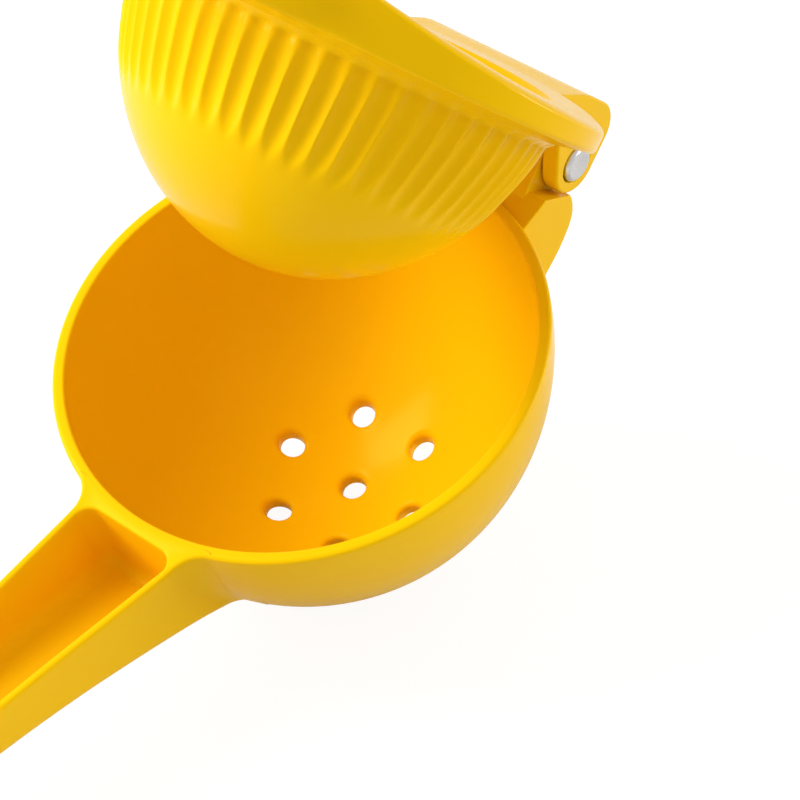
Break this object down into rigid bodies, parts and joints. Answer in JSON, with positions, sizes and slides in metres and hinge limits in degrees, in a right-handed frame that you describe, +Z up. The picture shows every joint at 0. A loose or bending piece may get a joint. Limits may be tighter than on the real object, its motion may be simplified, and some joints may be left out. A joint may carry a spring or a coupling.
{
  "type": "hinged lemon squeezer",
  "caption": "Hinged hand press for lemons: a bowl with drain holes and a fluted press cup, each cast with its channel handle in glossy yellow enamel, joined by a steel pin.",
  "frame": {"origin": "centre of the footprint, on the table the squeezer stands on", "axes": "+Z up; +X from the hinge towards the ends of the handles; +Y along the hinge pin"},
  "size_m": [0.2194, 0.076, 0.2289],
  "materials": {
    "yellow_enamel": "glossy baked enamel on cast aluminium",
    "pin_steel": "plain turned steel"
  },
  "bodies": {
    "lower": {"bowl_half": "yellow_enamel"},
    "upper": {"plunger_half": "yellow_enamel", "hinge_pin": "pin_steel"}
  },
  "joints": [
    {"name": "hinge", "type": "hinge", "parent": "lower", "child": "upper", "pos_m": [-0.10083, 0, 0.05916], "axis": [0, -1, 0], "range_deg": [-58.4, 75]}
  ]
}
